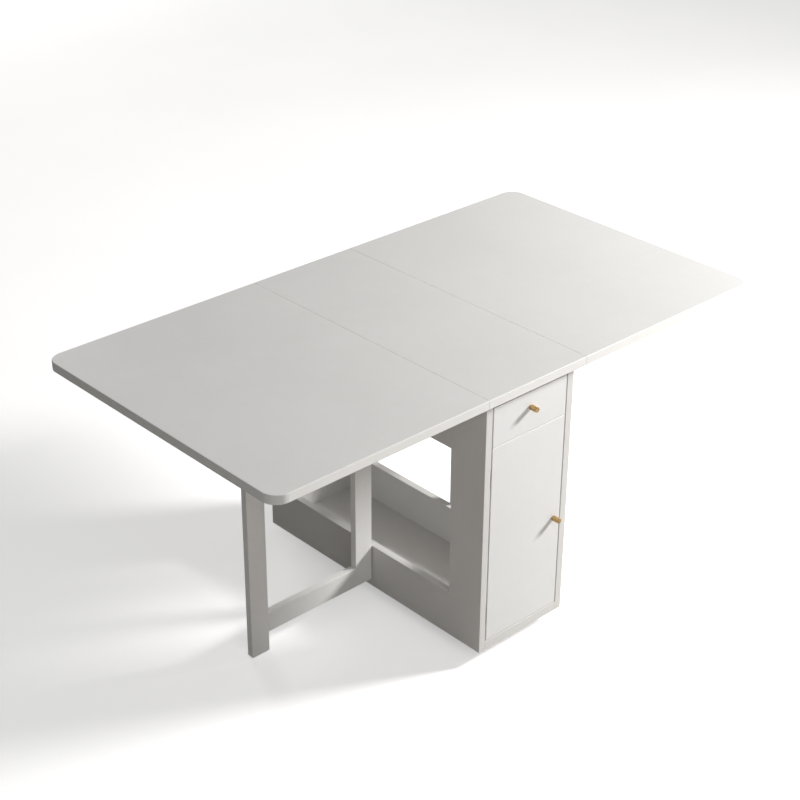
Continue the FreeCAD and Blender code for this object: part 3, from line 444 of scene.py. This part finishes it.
def screwLine(points):  # where a screw's head is, the way it is driven, and its whole length
    low, high = spanOf(points)
    axis = max(range(3), key=lambda number: high[number] - low[number])
    middle = (low + high) / 2
    wide = {}
    for end in (low[axis], high[axis]):
        near = [point for point in points if abs(point[axis] - end) < meshLimits["level"]]
        wide[end] = max((point - middle).length_squared - (point[axis] - middle[axis]) ** 2 for point in near)
    start = max(wide, key=wide.get)
    place, aim = middle.copy(), Vector((0, 0, 0))
    place[axis] = start
    aim[axis] = 1.0 if start == low[axis] else -1.0
    return place, aim, high[axis] - low[axis]


def driveScrews(look, sets):
    tree = screwTree(look, finishes["hinge_steel"])
    for name, body in sets.items():
        places, aims, lengths = zip(*[screwLine(points) for points in solidsOf(name)])
        reaches = [length - look["headDepth"] for length in lengths]
        dots = dotMesh(name, places, {"reach": reaches}, {"aim": aims})
        settle(grow(name.replace("_", "-") + "-cross", dots, tree, look), body, "hinge_steel", name)
        print(len(places), "screws on", body)


driveScrews(screwLook, screwSets)

ribLook = {"ribs": 10, "start": 0.0085, "reach": 0.0185, "low": 0.0057, "high": 0.0235, "thick": 0.0016,
           "toe": 0.0012, "shoulder": 0.001, "bevel": 0.0003, "hub": 1e-6}


def ribTree(plastic):  # a ring of ribs on the middle of each foot
    inputs = {"Feet": "Geometry", "Rib": "Object", "ribs": "Int", "hub": "Float"}
    tree, wire, size = startTree("footRibs", inputs, "Ribs")
    rib = wire.add("GeometryNodeObjectInfo", {"transform_space": "ORIGINAL"}, {"Object": size["Rib"]}, out="Geometry")
    circle = wire.add("GeometryNodeMeshCircle", plugs={"Vertices": size["ribs"], "Radius": size["hub"]})
    angle = wire.add("GeometryNodeInputIndex") * (2 * pi) / size["ribs"]
    turn = wire.add("ShaderNodeCombineXYZ", plugs={2: angle})
    ring = wire.add("GeometryNodeInstanceOnPoints", plugs={"Points": circle, "Instance": rib, "Rotation": turn})
    feet = wire.add("GeometryNodeInstanceOnPoints", plugs={"Points": size["Feet"], "Instance": ring})
    endTree(wire, feet, plastic)
    return tree


def cutRib(look):  # one thin web, its outline drawn on both faces and joined round the edge
    low, high, start, reach = (look[word] for word in ("low", "high", "start", "reach"))
    outline = [(start, low), (reach, low), (reach, low + look["toe"]), (start + look["shoulder"], high), (start, high)]
    web = bmesh.new()
    near, far = [[web.verts.new((x, y, z)) for x, z in outline] for y in (-look["thick"] / 2, look["thick"] / 2)]
    web.faces.new(near)
    web.faces.new(reversed(far))
    for one, two in zip(range(len(outline)), (*range(1, len(outline)), 0)):
        web.faces.new((near[two], near[one], far[one], far[two]))
    bmesh.ops.bevel(web, geom=list(web.edges), offset=look["bevel"], segments=1, affect="EDGES")
    bmesh.ops.recalc_face_normals(web, faces=web.faces)
    mesh = bpy.data.meshes.new("footRib")
    web.to_mesh(mesh)
    web.free()
    return bpy.data.objects.new("footRib", mesh)


def ribFeet(look):
    rib = cutRib(look)
    centres = [(low + high) / 2 for low, high in map(spanOf, solidsOf("body_feet"))]
    dots = dotMesh("foot-ribs", [(centre.x, centre.y, 0.0) for centre in centres])
    ribs = grow("foot-ribs", dots, ribTree(finishes["foot_plastic"]), {"Rib": rib, **look})
    bpy.data.objects.remove(rib)
    settle(ribs, "table_body", "foot_plastic")
    print(look["ribs"], "ribs on each of", len(centres), "feet")


ribFeet(ribLook)

knobLook = {"slices": 96, "foot": -0.0004, "neckInset": 0.0013, "neckLength": 0.0015, "shoulder": 0.0008,
            "shoulderCurve": ((0.7, 0.25), (0.2, 0.8), (0.0, 1.4)), "bands": (0.0042, 0.0034),
            "bandWidth": 0.0002, "bandDepth": 0.00012, "crown": 0.0011, "crownSteps": 6, "ringInset": 0.0021,
            "ringWidth": 0.0005, "ringSlope": 0.0001, "ringDepth": 0.00028, "dish": 0.00022,
            "dishSteps": (0.8, 0.55, 0.3, 0.12), "crease": 32.0}


def knobLine(look, radius, reach):  # the outline that a lathe follows, from the board to the middle of the face
    waist, ring = radius - look["neckInset"], radius - look["ringInset"]
    line = [(0.0, look["foot"]), (waist, look["foot"]), (waist, look["neckLength"])]
    for inset, rise in look["shoulderCurve"]:
        line.append((radius - look["neckInset"] * inset, look["neckLength"] + look["shoulder"] * rise))
    for back in look["bands"]:  # two hairline grooves near the end
        middle, groove, half = reach - back, radius - look["bandDepth"], look["bandWidth"] / 2
        line += [(radius, middle - look["bandWidth"]), (groove, middle - half),
                 (groove, middle + half), (radius, middle + look["bandWidth"])]
    for step in range(look["crownSteps"] + 1):
        turn = pi / 2 * step / look["crownSteps"]
        line.append((radius - look["crown"] * (1 - cos(turn)), reach - look["crown"] * (1 - sin(turn))))
    inner, slope, floor = ring - look["ringWidth"], look["ringSlope"], reach - look["ringDepth"]
    line += [(ring, reach), (ring - slope, floor), (inner + slope, floor), (inner, reach)]
    for share in look["dishSteps"]:
        line.append((inner * share, reach - look["dish"] * (1 - share ** 2)))
    return [*line, (0.0, reach - look["dish"])]


def turnKnob(name, body, board, look):  # the outline spun round the knob's own axis
    low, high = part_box(name)
    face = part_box(board)[0].y
    centre = (low + high) / 2
    line = knobLine(look, (high.x - low.x) / 2, face - low.y)
    lathe = bmesh.new()
    corners = [lathe.verts.new((centre.x + across, face - along, centre.z)) for across, along in line]
    edges = [lathe.edges.new(pair) for pair in zip(corners, corners[1:])]
    bmesh.ops.spin(lathe, geom=corners + edges, cent=(centre.x, face, centre.z), axis=(0, 1, 0), dvec=(0, 0, 0),
                   angle=2 * pi, steps=look["slices"], use_duplicate=False)
    bmesh.ops.remove_doubles(lathe, verts=lathe.verts, dist=meshLimits["latheWeld"])
    bmesh.ops.recalc_face_normals(lathe, faces=lathe.faces)
    mesh = bpy.data.meshes.new(name)
    lathe.to_mesh(mesh)
    lathe.free()
    mesh.materials.append(finishes["knob_brass"])
    mesh.shade_smooth()
    mesh.set_sharp_from_angle(angle=radians(look["crease"]))
    knob = bpy.data.objects.new(name.replace("_", "-") + "-turned", mesh)
    bpy.context.scene.collection.objects.link(knob)
    settle(knob, body, "knob_brass", name)


turnKnob("drawer_knob", "drawer", "drawer_front", knobLook)
turnKnob("door_knob", "door", "door_panel", knobLook)
print("knobs turned")

floorLook = {"reach": 40.0, "low": rgb(0.93, 0.928, 0.924), "high": rgb(0.96, 0.958, 0.954), "tone": (0.3, 0.7),
             "cloud": (1.6, 3.0), "cloudRough": 0.1, "rough": 0.7, "gloss": 0.2, "bounce": rgb(0.55, 0.515, 0.48),
             "lift": 0.42}


def floorPaint(look):  # pale matt paint, brighter to the camera than the light that it bounces
    finish, shader, place = newFinish("floorPaint")
    cloud = place.noise(*look["cloud"])
    direct = place.add("ShaderNodeLightPath", out="Is Camera Ray")
    pale = cloud.between(*look["tone"]).tint(look["low"], look["high"])
    place.feed(shader, {
        "Specular IOR Level": look["gloss"], "Base Color": direct.tint(look["bounce"], pale),
        "Roughness": look["rough"] + cloud * look["cloudRough"],
        "Emission Color": direct.tint(rgb(0.0, 0.0, 0.0), rgb(1.0, 1.0, 1.0)), "Emission Strength": look["lift"]})
    return finish


def layFloor(look):
    reach = look["reach"]
    sheet = bmesh.new()
    sheet.faces.new([sheet.verts.new((x * reach, y * reach, 0.0)) for x, y in ((-1, -1), (1, -1), (1, 1), (-1, 1))])
    mesh = bpy.data.meshes.new("floor")
    sheet.to_mesh(mesh)
    sheet.free()
    mesh.materials.append(floorPaint(look))
    floor = bpy.data.objects.new("floor", mesh)
    bpy.context.scene.collection.objects.link(floor)


layFloor(floorLook)
print("floor laid")
